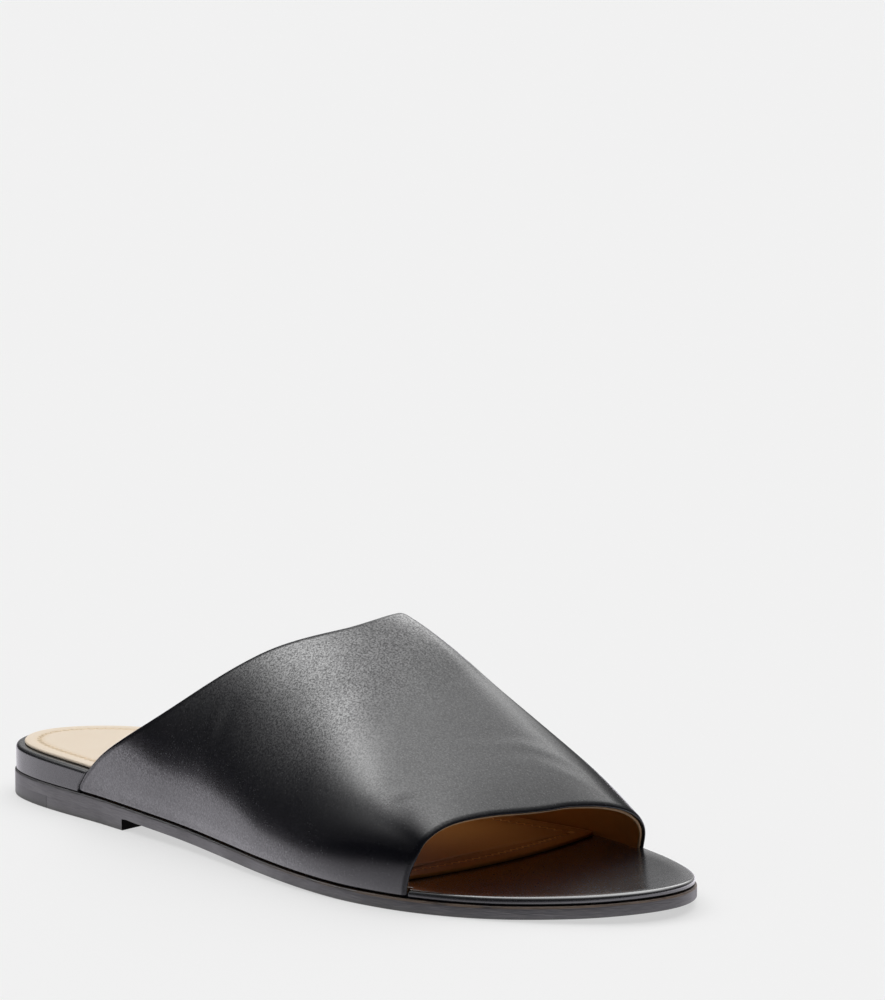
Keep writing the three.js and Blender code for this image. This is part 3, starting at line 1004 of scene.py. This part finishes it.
def edge_slant(across):
    """Sine of the angle at which lines along the foot meet the collar and the toe edge."""
    reach = 0.01
    sines = []
    for edge in (collar_x, toe_x):
        high, low = np.minimum(across + reach, 1), np.maximum(across - reach, -1)
        along_edge = upper_point(edge(high), high) - upper_point(edge(low), low)
        along_edge /= np.linalg.norm(along_edge, axis=1, keepdims=True)
        x = edge(across)
        lengthwise = upper_point(x + 0.2 * mm, across) - upper_point(x - 0.2 * mm, across)
        length = np.linalg.norm(lengthwise, axis=1, keepdims=True)
        sine = np.linalg.norm(np.cross(along_edge, lengthwise / length), axis=1)
        sines.append(np.clip(sine * length[:, 0] / (0.4 * mm), 0.3, 3))
    return sines


def upper_line(along, from_collar, from_toe, depth):
    """A line over the upper, from its outer edge to its inner: a share of the way from collar to toe,
    with both ends set back by some distance, and some depth below the surface."""
    across = np.where(column_share > 0, column_side * (1 - column_share), column_side * 0.98)
    for _ in range(8):
        slant = edge_slant(across)
        back = collar_x(across) + corner_cut(column_height, collar_corner_round) + from_collar / slant[0]
        front = toe_x(across) - corner_cut(column_height, toe_corner_round) - from_toe / slant[1]
        x = back + (front - back) * along
        across = across_at(x)
    surface = upper_point(x, across)
    normal = upper_normal(x, across)
    line = surface + normal * (crease_height(x, across) - depth)[:, None]
    tuck = corner_cut(np.where(column_share > 0, 1, column_height), foot_tuck)
    tuck = tuck * np.clip(1 - depth / foot_tuck, 0, 1)
    line[:, 1] -= column_side * tuck
    line[[0, -1], 2] = surface[[0, -1], 2]
    return line


def wall_rings(outer_depth, inner_depth, setback, roll, rows):
    """Rings of a wall that follows the upper between two depths. At collar and toe its edges are rolled
    over within some distance."""
    radius = (inner_depth - outer_depth) / 2
    turns = np.radians([8, 24, 40, 56, 72, 90])
    ends = [(setback + roll * (1 - math.cos(turn)), radius * (1 - math.sin(turn))) for turn in turns]
    flat_from = setback + roll
    stations = [(0, distance, flat_from, rise) for distance, rise in ends]
    stations += [(share, flat_from, flat_from, 0) for share in np.linspace(0, 1, rows + 1)[1:-1]]
    stations += [(1, flat_from, distance, rise) for distance, rise in reversed(ends)]
    rings = []
    for share, from_collar, from_toe, rise in stations:
        inner = upper_line(share, from_collar, from_toe, inner_depth - rise)
        outer = upper_line(share, from_collar, from_toe, outer_depth + rise)
        rings.append(np.vstack([inner, outer[::-1]]))
    return rings


def wall_cap(count):
    last = count - 1
    return [[k, k + 1, last - k - 1, last - k] for k in range(count // 2 - 1)]


upper_nappa = nappa_maker("upper nappa", 1950, 0.05 * mm, 0.11 * mm, 0.14, 1.4, 0.66, 1.8)
upper_rings = wall_rings(0, nappa_thickness, 0, rim_roll, upper_rows)
upper = add_piece("upper_dressed", *skin(upper_rings, wall_cap(len(upper_rings[0]))), upper_nappa)

# The dressing is worn thin on the turned edges at collar and toe
rim_rows = 5
rim_wear = -0.6
rim_marks = np.zeros(len(upper_rings))
rim_marks[:rim_rows] = rim_wear
rim_marks[-rim_rows:] = rim_wear
mark(upper, "rubbed", np.repeat(rim_marks, len(upper_rings[0])))
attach(upper, "root")
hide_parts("upper")

# Lining
# Thin tan leather glued inside the vamp. Its raw edge stops just short of the turned edges.
lining_clearance = 0.02 * mm
lining_setback = 0.45 * mm
lining_roll = 0.4 * mm

lining_leather, maker, place = material_maker("tan lining leather")
tan_cloud = noise(place, 70, 4)
pores = noise(place, 1600, 3)
# The lining is the deep tan of the sock under the upper: its own colour, darkened with painted shade for the
# inside of the vamp.
lining_colour = mix(tan_cloud, (0.52, 0.235, 0.045, 1), (0.45, 0.195, 0.033, 1))
finish(maker, lining_colour, 0.5 + 0.15 * pores, pores, 0.02 * mm, IOR=1.45)

raw_edge, maker, place = material_maker("raw leather edge")
edge_fibres = noise(place, 2200, 2)
edge_colour = mix(edge_fibres, (0.50, 0.32, 0.18, 1), (0.40, 0.24, 0.13, 1))
finish(maker, edge_colour, 0.75, edge_fibres, 0.03 * mm, IOR=1.45)

lining_depth = nappa_thickness + lining_clearance
lining_rings = wall_rings(lining_depth, wall, lining_setback, lining_roll, upper_rows)
lining_skin = skin(lining_rings, wall_cap(len(lining_rings[0])))
lining = add_piece("lining", *lining_skin, lining_leather, raw_edge)
band = len(lining_rings[0])
rounded_bands = 5
bands = len(lining_rings) - 1
for face in lining.data.polygons:
    along = face.index // band
    if along < rounded_bands or along >= bands - rounded_bands:
        face.material_index = 1
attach(lining, "root")
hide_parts("upper")

# Cards
# A card lies on the table round the shoe, glowing white beside it and black in front. A low one, black below
# and glowing grey above, stands beyond the shoe's inner side. Only reflections see them: they are painted
# reflections.
reflector_reach = 12.0
reflector_height = 0.2 * mm
reflector_clearance = 1.5 * mm
reflector_glow = 1.2
black_side_from = -54 * mm
black_side_to = -92 * mm
black_side_slant = 0.27
black_front_from = 118 * mm
black_front_to = 150 * mm

near_ring = plan_ring(even_columns, -reflector_clearance, level(reflector_height))
round_the_shoe = np.linspace(0, 2 * math.pi, len(near_ring), endpoint=False)
far_ring = near_ring.copy()
far_ring[:, 0] = foot_length / 2 - reflector_reach * np.cos(round_the_shoe)
far_ring[:, 1] = -reflector_reach * np.sin(round_the_shoe)

card_material, maker, place = material_maker("white to black card")
inward = place.dot((-black_side_slant, 1, 0)).step(black_side_to, black_side_from)
in_front = place.dot(heading).step(black_front_from, black_front_to)
card_colour = mix(inward * (1 - in_front), (0, 0, 0, 1), (0.96, 0.93, 1.0, 1))
glow = maker.node("ShaderNodeEmission", inputs={"Color": card_colour, "Strength": reflector_glow})
maker.node("ShaderNodeOutputMaterial", inputs={"Surface": glow})
card = add_piece("reflector", *skin([near_ring, far_ring], []), card_material)

# Places of the standing card's foot along the foot and to its inner side, and its heights there
black_card = np.array([
    (80, 94, 30),
    (110, 88, 52),
    (140, 84, 66),
    (165, 80, 66),
    (195, 78, 46),
    (215, 77, 30),
]) * mm
black_card_foot = 22 * mm
standing_card_glow, maker, place = material_maker("black card")
dim = mix(above_floor(place).step(34 * mm, 64 * mm), (0.1, 0.1, 0.1, 1), (0.8, 0.8, 0.8, 1))
glow = maker.node("ShaderNodeEmission", inputs={"Color": dim, "Strength": 1.0})
maker.node("ShaderNodeOutputMaterial", inputs={"Surface": glow})
card_foot = np.column_stack([black_card[:, :2], np.full(len(black_card), black_card_foot)])
card_faces = [[k, k + 1, k + 1 + len(black_card), k + len(black_card)] for k in range(len(black_card) - 1)]
standing_card = add_piece("black_card", np.vstack([card_foot, black_card]), card_faces, standing_card_glow)

for piece in (card, standing_card):
    piece.visible_camera = False
    piece.visible_diffuse = False
    piece.visible_shadow = False
